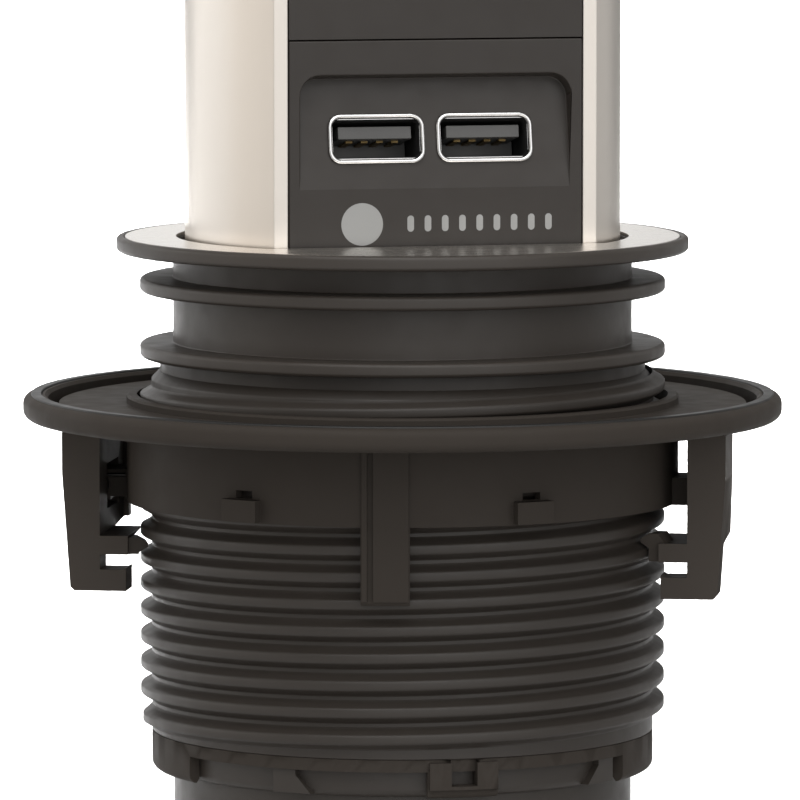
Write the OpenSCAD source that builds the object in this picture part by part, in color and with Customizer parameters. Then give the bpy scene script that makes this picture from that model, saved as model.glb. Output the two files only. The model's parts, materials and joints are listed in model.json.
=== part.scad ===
// Pop up desk socket: a housing clamped in a round desk cut-out, and a tower of sockets pulled up by hand.
// Millimetres. The axis is Z, the desk surface is z = 0, the tower faces -Y and stands raised.

/* [Desk interface] */
// Diameter of the desk cut-out
desk_hole_d = 80; // [79:0.5:84]
// Play of the centring rings and the thread in the cut-out, on the diameter
desk_hole_play = 1; // [0.6:0.1:1.6]
// Diameter of the flange that rests on the desk
flange_d = 86; // [85:0.5:94]
// Thickness of the flange
flange_t = 2.25; // [2:0.05:3.5]
// Width of the plain rim round the metal trim
trim_border = 1.3; // [0.8:0.1:2.5]
// Thickness of the metal trim
trim_t = 0.6; // [0.4:0.1:1]
// Depth of the upper centring ring below the desk surface
ring_depth = 3.9; // [3:0.1:5]
// Distance from one centring ring to the next
ring_pitch = 9.8; // [8:0.1:12]
// Thickness of a centring ring
ring_t = 2.15; // [1.6:0.05:3]

/* [Tower] */
// Diameter of the tower's round back
tower_d = 65.4; // [64:0.2:66.4]
// Distance from the axis to the flat front
tower_front = 21.7; // [20.5:0.1:22.5]
// Wall of the aluminium profile
profile_wall = 1.8; // [1.4:0.1:2.2]
// Visible width of a module
module_w = 44.4; // [43.6:0.1:45]
// Height of the charger module
module_h = 45; // [44:0.5:50]
// Height of a socket module
socket_h = 52.5; // [48:0.5:58]
// Height of the first seam above the flange when the tower is raised
usb_rise = 30.5; // [29:0.5:33]
// Radial play of the tower in its bore
slide_play = 0.4; // [0.35:0.05:0.8]
// Gap between the tower and the edge of the flange opening
opening_gap = 1.3; // [0.9:0.1:1.5]
// Overhang of the cap past the tower
cap_overhang = 4.6; // [4.2:0.1:6]
// Height of the cap
cap_h = 4.4; // [3.8:0.1:7]
// Height of the foot that slides in the housing
foot_h = 21.8; // [18:0.2:26]

/* [Thread] */
// Pitch of the outer thread
thread_pitch = 4; // [3.6:0.2:5]
// Depth of the outer thread
thread_depth = 1.7; // [1.4:0.1:1.9]
// Depth of the thread's upper end below the desk surface
thread_start = 19.6; // [19:0.2:30]
// Depth of the thread's lower end below the desk surface
thread_end = 70.6; // [66:0.2:72]

/* [Housing] */
// Depth of the collar's shelf below the desk surface
collar_end = 74; // [73.8:0.2:80]
// Drop of the bayonet blocks below the shelf
block_drop = 4; // [3.6:0.1:8]
// Depth of the lower end of the tube
tube_end = 201; // [195:1:235]

/* [Clamp ring] */
// Diameter of the clamp ring
nut_d = 114.2; // [112:0.2:124]
// Depth of the ring's upper face below the desk surface, which is the desk's thickness
nut_depth = 21.3; // [21:0.1:24]
// Height of the ring's rim
rim_h = 3.8; // [3.2:0.1:5]
// Width of the ring's rim
rim_w = 3.8; // [3:0.1:5]
// Wall of the ring's hub
hub_wall = 1.6; // [1.4:0.1:2.2]
// Height of the hub below the plate
hub_h = 12.4; // [11.8:0.1:14]
// Turn of the ring about the axis
nut_turn = -16.7; // [-30:0.1:30]
// Width of a release lever along the hub
lever_w = 25; // [20:0.5:28]
// Thickness of a release lever
lever_t = 5.7; // [5.4:0.1:7.5]

/* [Sockets] */
// Diameter of a plug well
well_d = 39; // [38.5:0.1:39.6]
// Depth of a plug well
well_depth = 17.5; // [17:0.1:18]
// Distance between the pin holes
pin_spacing = 19; // [18.8:0.1:19.2]
// Diameter of a pin hole
pin_hole_d = 5.2; // [5:0.05:5.6]
// Turn of the sockets
socket_turn = 45; // [35:1:55]

/* [USB] */
// Height of the ports above the flange when the tower is raised
port_rise = 15.8; // [15:0.1:17.5]
// Distance between the ports
port_pitch = 16.4; // [15.6:0.1:18]
// Width of the recess round the ports
recess_w = 41; // [38:0.5:42]
// Depth of the recess at its upper edge
recess_depth = 3.2; // [2.6:0.1:3.4]

/* [Hidden] */
$fn = 96;

// Colours
dark_plastic = "#45423f";
black_plastic = "#2e2c2a";
aluminium = "#dcd6cf";
steel = "#d8d8d6";
brass = "#c9a556";
pale_plastic = "#d9d6cc";

// How far a cut runs past a face, a close fit, a hair's gap and a small edge break
cut = 1;
fit = 0.1;
touch = 0.05;
edge = 0.4;

// Polar angle of the tower's front
front = -90;

// Radii of the housing
neck_wall = 1.4;
front_play = 0.8;
core_step = 1.3;
rim_step = 1.5;
tower_r = tower_d / 2;
bore_r = tower_r + slide_play;
bore_front = tower_front + front_play;
opening_r = tower_r + opening_gap;
neck_r = bore_r + neck_wall;
crest_r = (desk_hole_d - desk_hole_play) / 2;
core_r = crest_r - thread_depth;
sleeve_r = core_r - core_step;
flange_r = flange_d / 2;
trim_r = flange_r - trim_border;
tube_rim_r = neck_r + rim_step;

// Heights of the housing, as depths below the desk surface
flange_round = 0.6;
opening_step = 0.9;
spigot_h = 8;
shelf_t = 1.8;
tube_top = 62;
ring2_top = ring_depth + ring_pitch;
ring2_end = ring2_top + ring_t;
spigot_end = ring2_end + spigot_h;
sleeve_end = collar_end - shelf_t;
block_end = collar_end + block_drop;

// Lightening pockets behind the front of the neck
pocket_x = 6.8;
pocket_w = 10.4;
pocket_t = 5.8;
pocket_wall = 1.8;
pocket_roof = 6;

// Pockets of the friction pads, below the spigot
pad_top = 2;
pad_h = 15;
pad_t = 1.4;
pad_play = 0.2;
pad_proud = 0.05;
pad_half_angle = 12;

// Coupling ring: rounds, the lowest edge of its wall, and the polar angles of its gaps, clip and window
block_round = 1.2;
block_rise = 0.6;
block_turn = 80;
clip_proud = 0.8;
clip_rise = 1.4;
clip_floor = 1.9;
clip_margin = 0.4;
window_sink = 0.3;
clip_from = 262.4;
clip_to = 278.6;
window_from = 267.6;
window_to = 273.4;
block_gaps = [[20, 165], [200, clip_from], [clip_to, 317]];

// Lower tube: bead round its lower end, bayonet posts and ramps
bead = 0.8;
bead_h = 2.6;
post_turn = 38;
post_drop = 2.6;
post_w = 3.7;
post_shift = 2.05;
ramp_t = 2;
ramp_turn = 42;
post_reach = 8;
tube_gap = 0.2;

// Clamp ring: dish between a moat inside the rim and a lip round the bore, hub, tongue with ribs, and nubs
dish_depth = 1.5;
moat_w = 1.6;
moat_depth = 3;
rim_round = 1.3;
rim_edge = 0.5;
hub_play = 0.45;
nut_r = nut_d / 2;
rim_in = nut_r - rim_w;
plate_low = -(nut_depth + rim_h);
dish_floor = -(nut_depth + dish_depth);
moat_floor = -(nut_depth + moat_depth);
hub_in = crest_r + hub_play;
hub_out = hub_in + hub_wall;
hub_low = plate_low - hub_h;
tongue_h = 23.9;
tongue_low = plate_low - tongue_h;
rib_proud = 0.5;
rib_sink = 0.3;
rib_rise = 0.6;
rib_angles = [[-94.7, -93.6], [-92.4, -85.3]];
tongue_angles = [-95, -85];
nub_turn = 30.5;
nub_half_angle = 4;
nub_proud = 1.6;
nub_h = 3.3;
nub_slot = 1.1;
nub_rise = 0.2;

// Slip washer, let into the top of the rim
washer_t = 1.2;
washer_w = 1.6;
washer_inset = 1;
washer_proud = 0.25;
washer_play = 0.05;
washer_gap = 0.1;
washer_in = rim_in + washer_inset;
rim_top = -nut_depth - washer_proud;
groove_in = washer_in - washer_gap;
groove_out = washer_in + washer_w + washer_gap;
groove_floor = -nut_depth - washer_t - washer_play;

// Release levers: pivot, two prongs towards the thread, the paddle's taper, sloping far half and cheek,
// and the narrow foot at the front edge
lever_gap = 2.65;
lever_turn = -3.7;
pivot_inset = 1.9;
pivot_drop = 10.6;
prong_drop = 17.4;
prong_t = 2.8;
prong_gap = 2.3;
foot_prong_t = 3.2;
lever_top = 0.9;
lever_round = 0.4;
lever_straight = 8;
lever_taper = 1.2;
lever_slope = 1.8;
lever_edge = 0.6;
lever_foot_w = 6;
shoulder_rise = 0.6;
waist_drop = 0.5;
cheek_reach = 0.8;
cheek_w = 2.4;
cheek_drop = 1;
tooth_reach = 0.85;
tooth_tip = 0.3;
tooth_base = 1.1;
tooth_run = 1.5;
tooth_lap = 0.9;
tooth_half_angle = 3;
pin_d = 2;
pin_play = 0.08;
pin_grip = 0.02;
pin_cover = 2.5;
lug_r = 2.3;
lug_w = 8.2;
lug_side = 5.1;
lug_room = 0.3;
lug_swing = 3.4;
spring_r = 1.9;
spring_bore_r = 1.25;
spring_w = 1.6;
wire_r = 0.28;
lever_in = hub_out + lever_gap;
lever_out = lever_in + lever_t;
pivot_r = lever_in + pivot_inset;
pivot_z = plate_low - pivot_drop;
prong_top = plate_low - prong_drop;
prong_low = prong_top - prong_t;
foot_prong_top = prong_low - prong_gap;
lever_low = foot_prong_top - foot_prong_t;

// Helix: height of the crest at polar angle 0, modulo the pitch, and the form of the ridge
crest_phase = 0.147;
thread_low_a = 150;
thread_steps = 40;
run_in = 0.4;
root_sink = 0.4;
root_gap = 0.24;
crest_share = 0.325;
root_half = thread_pitch / 2 - root_gap;
crest_half = thread_pitch / 2 * crest_share;
tooth_up = 1.2;
tooth_down = 0.5;
function groove_z(angle, near) =
    let (z = crest_phase + thread_pitch * (angle / 360 + 0.5))
    z + thread_pitch * round((near - z) / thread_pitch);
right_turn = nut_turn + lever_turn;
left_turn = right_turn + 180;
tooth_turn = asin((lever_w - lever_foot_w) / 2 / hub_out);
right_tooth_z = groove_z(right_turn - tooth_turn, prong_top - tooth_down);
left_tooth_z = groove_z(left_turn + tooth_turn, prong_top - tooth_up);
thread_low_z = groove_z(thread_low_a, -thread_end + thread_pitch) - thread_pitch / 2;
thread_top_z = min(-thread_start, -ring2_end - core_step - run_in - edge);
thread_turns = (thread_top_z - thread_low_z) / thread_pitch;

// Tower
seam = 0.1;
profile_gap = 0.3;
insert_play = 0.15;
shoulder_play = 0.4;
shoulder_t = 2.2;
channel_inset = 4.7;
channel_y = 11;
channel_r = 3;
thread_hole_r = 1.55;
screw_hole_r = 1.7;
screw_r = 1.5;
head_hole_r = 3.1;
head_r = 2.9;
seam_z = flange_t + usb_rise;
lower_z = seam_z + socket_h / 2;
upper_z = seam_z + socket_h * 1.5;
tower_top = seam_z + socket_h * 2;
tower_low = -spigot_end - profile_gap;
foot_low = tower_low - foot_h;
inner_r = tower_r - profile_wall;
lip_y = -tower_front + profile_wall;
face_half = module_w / 2;
slot_half = face_half + insert_play;
shoulder_half = sqrt(inner_r * inner_r - lip_y * lip_y) - shoulder_play;
channel_x = inner_r - channel_inset;

// Rings that plug into the ends of the profile
plug_play = 0.35;
plug_wall = 2.05;
plug_front = 15.5;
plug_h = 4.5;
plug_lap = 1;
channel_room = 0.4;

// Cap
cap_r = tower_r + cap_overhang;
cap_round = 1.6;
cap_edge = 0.5;
plate_t = 0.7;
plate_border = 2.2;
gasket_border = 0.8;
gasket_w = 1.3;
gasket_seat = 0.7;
gasket_proud = 0.3;
cap_screw_reach = 9;
cap_head_h = 1.6;
cap_head_seat = 1.4;

// Sockets
cup_wall = 1.5;
floor_t = 3;
block_t = 14.2;
block_inset = 2.3;
well_r = well_d / 2;
cup_r = well_r + cup_wall;
well_floor = -tower_front + well_depth;
cup_back = well_floor + floor_t;
block_back = cup_back + block_t;
block_r = well_r - block_inset;
pin_r = pin_hole_d / 2;
pin_u = pin_spacing / 2;
bar_x = pin_u * cos(socket_turn);
bar_z = pin_u * sin(socket_turn);
guide_w = 4.8;
guide_t = 2;
guide_start = 1.2;
guide_sink = 0.2;

// Contact sleeves and the shutter with its track
sleeve_bore_r = 2.45;
sleeve_wall = 0.9;
sleeve_start = 2.7;
sleeve_back = 1.3;
shutter_w = 24.8;
shutter_h = 6.8;
shutter_t = 2;
shutter_play = 0.15;
track_play = 0.3;
track_t = 2.4;
track_top = 11.2;
wedge_x = 6;
wedge_t = 3;
wedge_h = 4;
wedge_z = 4.6;
wedge_turn = 30;
coil_r = 0.85;
coil_bore_r = 0.5;
coil_play = 0.05;
coil_gap = 0.1;

// Earth clips: arms of sheet metal with a bend that touches the plug
clip_t = 0.8;
clip_w = 5;
clip_inset = 1.1;
clip_behind = 2.1;
clip_bend = 1.4;
clip_thin = 0.2;
clip_reach = [7, 10, 12.6];
clip_slot_w = 5.8;
clip_slot_t = 1.5;
arm_in = well_r - clip_inset;
arm_out = arm_in + clip_t;
clip_back = block_back + clip_behind;

// USB
recess_up = 8.9;
recess_down = 7.3;
recess_round = 3;
recess_h = 22;
usb_t = 5.2;
shelf_drop = 2;
port_z = flange_t + port_rise;
recess_top = port_z + recess_up;
recess_low = port_z - recess_down;
slope = atan(recess_depth / (recess_top - recess_low));
port_y = -tower_front + recess_depth * (port_z - recess_low) / (recess_top - recess_low);
usb_low = seam_z - module_h;
usb_back = -tower_front + usb_t;
shelf_z = usb_low - shelf_drop;

// Ports: shift across the face, then for one port its hole, shell, flared mouth, tongue and contact strips
port_shift = -0.55;
port_hole = [13.5, 6.1];
shell_size = [13.2, 5.8];
shell_bore = [12.5, 5.12];
mouth_size = [14.6, 7.4];
mouth_t = 0.55;
mouth_round = 1.9;
mouth_lift = 0.02;
shell_round = 0.6;
bore_round = 0.4;
shell_depth = 10;
shell_back = 0.5;
tongue_size = [11.1, 1.84, 8.6];
tongue_foot = [12.2, 4.8, 1.6];
tongue_up = 0.1;
strip_size = [1, 0.3, 4.9];
strip_pitch = 2.3;
strip_front = 7.8;
strip_top = tongue_up - 0.02;

// Charger circuit
board_w = 38;
board_t = 1.6;
board_drop = 2.5;
board_gap = 7.6;
board_rise = 1.5;
transformer_size = [16, 13, 16];
transformer_x = -14;
transformer_rise = 19;
can_r = 4;
can_h = 12;
can_x = 10;
can_rise = [24, 35];

// Bus bars and terminals
bar_w = 6;
bar_t = 1;
bar_end = 1.7;
bar_over = 3;
earth_step = 2.9;
bar_play = [0.2, 0.15];
terminal_size = [26, 11.5, 10.8];
terminal_front = 4;
slot_rise = 1.5;
terminal_hole_r = 1.7;
terminal_screw_r = 1.6;
terminal_rise = 4.8;
terminal_screw_h = 4.4;

// Foot and cable gland
foot_floor = 3;
foot_wall = 1.9;
foot_head_seat = 2.2;
foot_head_h = 1.8;
foot_screw_reach = 7.7;
shelf_plate = 2;
lead_hole_r = 6;
lead_hole_y = 3;
gland_hole_r = 8.15;
gland_r = 8;
gland_bore_r = 5;
gland_hex_r = 12.7;
gland_hex_h = 4;
gland_neck_r = 7.5;
gland_neck_h = 4;
gland_up = 8;
locknut_r = 12.1;
locknut_h = 4;
seal_r = 7.4;
cable_r = 4;
seal_h = 4;
gland_nut_r = 11;
gland_nut_floor = 0.5;
gland_nut_gap = 0.2;
gland_cone_h = 3;
gland_cone_r = [6.6, 9.4];
gland_mouth_r = 4.7;
seal_low = foot_low - gland_hex_h - gland_neck_h - seal_h;

// A piece of a ring between two radii, two heights and two polar angles
module sector(r1, r2, z1, z2, a1, a2) {
    rotate([0, 0, a1])
        rotate_extrude(angle = a2 - a1)
            translate([r1, z1])
                square([r2 - r1, z2 - z1]);
}

// A round bar with a flat front
module d_bar(r, front, z1, z2) {
    intersection() {
        translate([0, 0, z1])
            cylinder(r = r, h = z2 - z1);
        translate([-r - cut, -front, z1 - cut])
            cube([2 * (r + cut), front + r + cut, z2 - z1 + 2 * cut]);
    }
}

// A tube between two heights
module tube(r_out, r_in, z1, z2) {
    translate([0, 0, z1])
        difference() {
            cylinder(r = r_out, h = z2 - z1);
            translate([0, 0, -cut])
                cylinder(r = r_in, h = z2 - z1 + 2 * cut);
        }
}

// A flat rectangle with round corners
module round_rect(size, r) {
    square([size.x - 2 * r, size.y], center = true);
    square([size.x, size.y - 2 * r], center = true);
    for (x = [-1, 1], y = [-1, 1])
        translate([x * (size.x / 2 - r), y * (size.y / 2 - r)])
            circle(r = r);
}

// A ridge that winds up a cylinder, from a profile of radius and height
module helix(profile, z_first, a_first, turns, steps) {
    n = len(profile);
    count = round(turns * steps);
    points = [for (i = [0:count]) let (a = a_first + 360 * i / steps, z = z_first + thread_pitch * i / steps)
        for (p = profile) [p.x * cos(a), p.x * sin(a), z + p.y]];
    sides = [for (i = [0:count - 1], j = [0:n - 1]) let (k = (j + 1) % n, a = i * n, b = a + n)
        each [[a + j, a + k, b + j], [a + k, b + k, b + j]]];
    first = [for (j = [0:n - 1]) n - 1 - j];
    last = [for (j = [0:n - 1]) count * n + j];
    polyhedron(points, concat(sides, [first], [last]));
}

// Outline of one centring ring, from its lower edge up
function ring_outline(top, r_in, r_out) = [
    [r_in, -top - ring_t],
    [r_out - edge, -top - ring_t],
    [r_out, -top - ring_t + edge],
    [r_out, -top - edge],
    [r_out - edge, -top],
    [r_in, -top],
];

// Points of a round between two angles
function arc(cx, cz, r, a1, a2, n) = [
    for (i = [0:n])
        let (a = a1 + (a2 - a1) * i / n)
        [cx + r * cos(a), cz + r * sin(a)]
];

// The two screw channels of the tower
module at_channels(z) {
    for (side = [-1, 1])
        translate([side * channel_x, channel_y, z])
            children();
}

// Flange, neck and centring rings in one moulding, with a bore that fits the tower
module bezel_collar() color(dark_plastic) difference() {
    rotate_extrude()
        polygon(concat(
            [[0, -spigot_end], [neck_r, -spigot_end]],
            ring_outline(ring2_top, neck_r, crest_r),
            ring_outline(ring_depth, neck_r, crest_r),
            [[neck_r, 0], [flange_r - edge, 0], [flange_r, edge]],
            arc(flange_r - flange_round, flange_t - flange_round, flange_round, 0, 90, 4),
            [[0, flange_t]]
        ));
    d_bar(bore_r, bore_front, -spigot_end - cut, flange_t + cut);
    d_bar(opening_r, bore_front, opening_step, flange_t + cut);
    translate([0, 0, flange_t - trim_t])
        cylinder(r = trim_r + fit, h = trim_t + cut);
    for (side = [-1, 1])
        translate([side * pocket_x - pocket_w / 2, -bore_front - pocket_wall - pocket_t, -spigot_end - cut])
            cube([pocket_w, pocket_t, spigot_end - pocket_roof + cut]);
}

// Metal trim let into the flange
module flange_trim() color(aluminium) difference() {
    translate([0, 0, flange_t - trim_t])
        cylinder(r = trim_r, h = trim_t);
    d_bar(opening_r, bore_front, 0, flange_t + cut);
}

// Threaded sleeve
module threaded_sleeve() color(dark_plastic) {
    rotate_extrude()
        polygon([
            [neck_r + fit, -ring2_end],
            [sleeve_r, -ring2_end],
            [sleeve_r, thread_top_z + run_in + core_step],
            [core_r, thread_top_z + run_in],
            [core_r, -sleeve_end],
            [neck_r + fit, -sleeve_end],
            [neck_r + fit, -tube_top],
            [bore_r, -tube_top],
            [bore_r, -spigot_end - pad_top - pad_h],
            [bore_r + pad_t, -spigot_end - pad_top - pad_h],
            [bore_r + pad_t, -spigot_end - pad_top],
            [neck_r + fit, -spigot_end - profile_gap],
        ]);
    helix([
        [core_r - root_sink, -root_half],
        [crest_r, -crest_half],
        [crest_r, crest_half],
        [core_r - root_sink, root_half],
    ], thread_low_z, thread_low_a, thread_turns, thread_steps);
}

// Coupling ring under the sleeve, with bayonet blocks and a snap clip for the tube
module bayonet_ring() color(dark_plastic) difference() {
    union() {
        rotate_extrude()
            polygon(concat(
                [[neck_r + fit, -sleeve_end], [neck_r + fit, -collar_end], [tube_rim_r + fit, -collar_end],
                 [tube_rim_r + fit, -block_end + block_rise]],
                arc(core_r - block_round, -block_end + block_round, block_round, -90, 0, 4),
                [[core_r, -sleeve_end]]
            ));
        sector(core_r - clip_proud - fit, core_r + clip_proud, -block_end + clip_rise, -collar_end + clip_rise,
            clip_from + clip_margin, clip_to - clip_margin);
    }
    for (gap = block_gaps)
        sector(tube_rim_r - cut, core_r + clip_proud + cut, -block_end - cut, -collar_end, gap[0], gap[1]);
    sector(tube_rim_r - cut, core_r + clip_proud + cut, -block_end + clip_floor, -collar_end,
        window_from, window_to);
    sector(core_r - window_sink, core_r + clip_proud + cut, -collar_end - cut, -collar_end + clip_rise + cut,
        window_from, window_to);
}

// Lower guide tube with its bayonet posts
module lower_tube() color(dark_plastic) {
    bead_r = neck_r + bead;
    rotate_extrude()
        polygon(concat(
            [[bore_r, -tube_end], [bead_r - edge, -tube_end], [bead_r, -tube_end + edge],
             [bead_r, -tube_end + bead_h], [neck_r, -tube_end + bead_h + bead], [neck_r, -block_end]],
            arc(tube_rim_r - block_round, -block_end + block_round, block_round, -block_turn, 0, 4),
            [[tube_rim_r, -collar_end], [neck_r, -collar_end], [neck_r, -tube_top - tube_gap],
             [bore_r, -tube_top - tube_gap]]
        ));
    intersection() {
        tube(core_r - block_rise, neck_r + edge, -block_end + edge, -collar_end - fit);
        for (side = [-1, 1])
            rotate([0, 0, -90 + post_turn * side])
                translate([tube_rim_r, 0, -collar_end - post_drop]) {
                    translate([0, side * post_shift, 0])
                        cube([post_reach, post_w, post_reach], center = true);
                    rotate([side * -ramp_turn, 0, 0])
                        cube([post_reach, ramp_t, post_reach], center = true);
                }
    }
}

// Two pads in the sleeve's bore that brake the tower
module friction_pads() color(black_plastic) {
    for (a = [0, 180])
        sector(bore_r - pad_proud, bore_r + pad_t - pad_proud, -spigot_end - pad_top - pad_h + pad_play,
            -spigot_end - pad_top - 2 * pad_play, a - pad_half_angle, a + pad_half_angle);
}

// Slip washer that stays still against the desk while the ring turns
module thrust_washer() color(black_plastic) {
    tube(washer_in + washer_w, washer_in, -nut_depth - washer_t, -nut_depth);
}

// Clamp ring: dished plate, hub, lever lugs, tongue and stop nubs
module clamp_ring() color(dark_plastic) rotate([0, 0, nut_turn]) difference() {
    union() {
        rotate_extrude()
            polygon(concat(
                [[hub_in, tongue_low], [hub_out - edge, tongue_low], [hub_out, tongue_low + edge],
                 [hub_out, plate_low]],
                arc(nut_r - rim_round, plate_low + rim_round, rim_round, -90, 0, 4),
                arc(nut_r - rim_round, rim_top - rim_round, rim_round, 0, 90, 4),
                [[groove_out, rim_top], [groove_out, groove_floor], [groove_in, groove_floor],
                 [groove_in, rim_top],
                 [rim_in + rim_edge, rim_top], [rim_in, rim_top - rim_edge], [rim_in, moat_floor],
                 [rim_in - moat_w, moat_floor], [rim_in - moat_w, dish_floor],
                 [hub_out, dish_floor], [hub_out, rim_top - rib_sink], [hub_out - rib_sink, rim_top],
                 [hub_in, rim_top]]
            ));
        for (side = [0, 180])
            rotate([0, 0, lever_turn + side])
                lever_lug();
        for (a = [-nub_turn, nub_turn])
            sector(hub_out - rib_sink, hub_out + nub_proud, hub_low + nub_rise, hub_low + nub_rise + nub_h,
                front + a - nub_half_angle, front + a + nub_half_angle);
        for (rib = rib_angles)
            sector(hub_out - rib_sink, hub_out + rib_proud, tongue_low + rib_rise, plate_low + rib_sink,
                rib[0], rib[1]);
    }
    sector(hub_in - cut, hub_out + nub_proud + cut, tongue_low - cut, hub_low,
        tongue_angles[1], tongue_angles[0] + 360);
    for (a = [-nub_turn, nub_turn])
        sector(hub_in - cut, hub_out + nub_proud + cut, hub_low + nub_rise + nub_h + fit,
            hub_low + nub_rise + nub_h + fit + nub_slot,
            front + a - nub_half_angle / 2, front + a + nub_half_angle / 2);
    for (side = [0, 180])
        rotate([0, 0, lever_turn + side])
            translate([pivot_r, 0, pivot_z])
                rotate([90, 0, 0])
                    cylinder(r = pin_d / 2 + pin_play, h = lever_w, center = true);
}

// Lug on the hub that carries a lever's pin
module lever_lug() {
    translate([hub_out - 2 * rib_sink, -lug_side, pivot_z - lug_r])
        cube([pivot_r - hub_out + 2 * rib_sink, lug_w, 2 * lug_r]);
    translate([pivot_r, lug_w - lug_side, pivot_z])
        rotate([90, 0, 0])
            cylinder(r = lug_r, h = lug_w);
}

// Release lever on the +X side: a paddle, with the foot at its edge on the given side of Y, and a tooth
// for the thread at the given height
module lever(tooth_z, side) {
    near = side * lever_w / 2;
    foot_edge = near - side * lever_foot_w;
    slot_w = 2 * (lug_side + lug_room);
    shoulder_z = prong_top + shoulder_rise;
    waist_z = prong_top - waist_drop;
    plan_in = hub_in - cut;
    plan_out = lever_out + cut;
    difference() {
        union() {
            intersection() {
                rotate([90, 0, 0])
                    linear_extrude(height = lever_w, center = true)
                        polygon([
                            [lever_in, plate_low - lever_top],
                            [lever_out - lever_round, plate_low - lever_top],
                            [lever_out, plate_low - lever_top - lever_round],
                            [lever_out, plate_low - lever_straight],
                            [lever_out - lever_taper, lever_low + lever_edge],
                            [lever_out - lever_taper - lever_edge, lever_low],
                            [hub_in + lug_room, lever_low],
                            [hub_in + lug_room, foot_prong_top + lug_room],
                            [hub_in + 2 * edge, foot_prong_top],
                            [lever_in, foot_prong_top],
                            [lever_in, prong_low],
                            [hub_in, prong_low],
                            [hub_in, prong_top],
                            [lever_in, prong_top],
                        ]);
                translate([plan_in, 0, 0])
                    rotate([90, 0, 90])
                        linear_extrude(height = plan_out - plan_in)
                            polygon([
                                [near, plate_low],
                                [-near, plate_low],
                                [-near, shoulder_z],
                                [foot_edge, waist_z],
                                [foot_edge, lever_low - cut],
                                [near, lever_low - cut],
                            ]);
                translate([0, 0, lever_low - cut])
                    linear_extrude(height = plate_low - lever_low + 2 * cut)
                        polygon([
                            [plan_in, -near],
                            [lever_out - lever_slope, -near],
                            [lever_out, 0],
                            [lever_out, near],
                            [plan_in, near],
                        ]);
            }
            translate([lever_in - cheek_reach, min(-near, -near + side * cheek_w), shoulder_z])
                cube([cheek_reach + pivot_inset, cheek_w, plate_low - lever_top - cheek_drop - shoulder_z]);
            rotate([0, 0, side * tooth_turn - tooth_half_angle])
                rotate_extrude(angle = 2 * tooth_half_angle)
                    polygon([
                        [crest_r - tooth_reach, tooth_z - tooth_tip],
                        [hub_in, tooth_z - tooth_base],
                        [hub_in, prong_low],
                        [hub_out + tooth_lap, prong_low],
                        [hub_out + tooth_lap, prong_top],
                        [hub_in + tooth_run, tooth_z + tooth_base],
                        [hub_in, tooth_z + tooth_base],
                        [crest_r - tooth_reach, tooth_z + tooth_tip],
                    ]);
        }
        translate([lever_in - cut, -slot_w / 2, pivot_z - lug_swing])
            cube([pivot_inset + lug_r + lug_room * 2 + cut, slot_w, 2 * lug_swing]);
        pin_place(side)
            cylinder(r = pin_d / 2 + pin_grip, h = lever_w - pin_cover + fit);
    }
}

// Frame at the inner end of a lever's pin, with Z along the pin away from the foot
module pin_place(side) {
    translate([pivot_r, side * (lever_w / 2 - pin_cover), pivot_z])
        rotate([side * 90, 0, 0])
            children();
}

module lever_pin(side) {
    pin_place(side)
        translate([0, 0, touch])
            cylinder(r = pin_d / 2, h = lever_w - pin_cover - 2 * fit);
}

// Torsion spring on a lever's pin, with one leg to the hub and one to the lever
module lever_spring() {
    translate([pivot_r, lug_side - fit, pivot_z])
        rotate([90, 0, 0])
            tube(spring_r, spring_bore_r, 0, spring_w);
    leg_y = lug_side - fit - spring_w / 2;
    leg_z = spring_r - lug_room;
    translate([hub_out + touch, leg_y, pivot_z + leg_z])
        rotate([0, 90, 0])
            cylinder(r = wire_r, h = pivot_r - hub_out);
    translate([pivot_r, leg_y, pivot_z - leg_z])
        rotate([0, 90, 0])
            cylinder(r = wire_r, h = lug_r + edge);
}

module lever_right() color(dark_plastic) rotate([0, 0, right_turn]) lever(right_tooth_z, -1);
module lever_left() color(dark_plastic) rotate([0, 0, left_turn]) lever(left_tooth_z, 1);
module lever_pin_right() color(steel) rotate([0, 0, right_turn]) lever_pin(-1);
module lever_pin_left() color(steel) rotate([0, 0, left_turn]) lever_pin(1);
module lever_spring_right() color(steel) rotate([0, 0, right_turn]) lever_spring();
module lever_spring_left() color(steel) rotate([0, 0, left_turn]) lever_spring();

// Aluminium profile of the tower, open in front for the modules, with two screw channels
module tower_profile() color(aluminium) difference() {
    union() {
        difference() {
            d_bar(tower_r, tower_front, tower_low, tower_top);
            d_bar(inner_r, -lip_y, tower_low - cut, tower_top + cut);
        }
        at_channels(tower_low)
            cylinder(r = channel_r, h = tower_top - tower_low);
    }
    translate([-slot_half, -tower_front - cut, tower_low - cut])
        cube([2 * slot_half, profile_wall + 2 * cut, tower_top - tower_low + 2 * cut]);
    at_channels(tower_low - cut)
        cylinder(r = thread_hole_r, h = tower_top - tower_low + 2 * cut);
}

// A low ring that plugs into an end of the profile and keeps clear of the modules and screw channels
module plug_ring(z1, z2) {
    difference() {
        intersection() {
            tube(inner_r - plug_play, inner_r - plug_play - plug_wall, z1, z2);
            behind_modules(z1 - cut, z2 + cut);
        }
        at_channels(z1 - cut)
            cylinder(r = channel_r + channel_room, h = z2 - z1 + 2 * cut);
    }
}

// The room inside the profile behind the modules' shoulders
module behind_modules(z1, z2) {
    translate([-tower_r, -plug_front, z1])
        cube([2 * tower_r, plug_front + tower_r, z2 - z1]);
}

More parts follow.
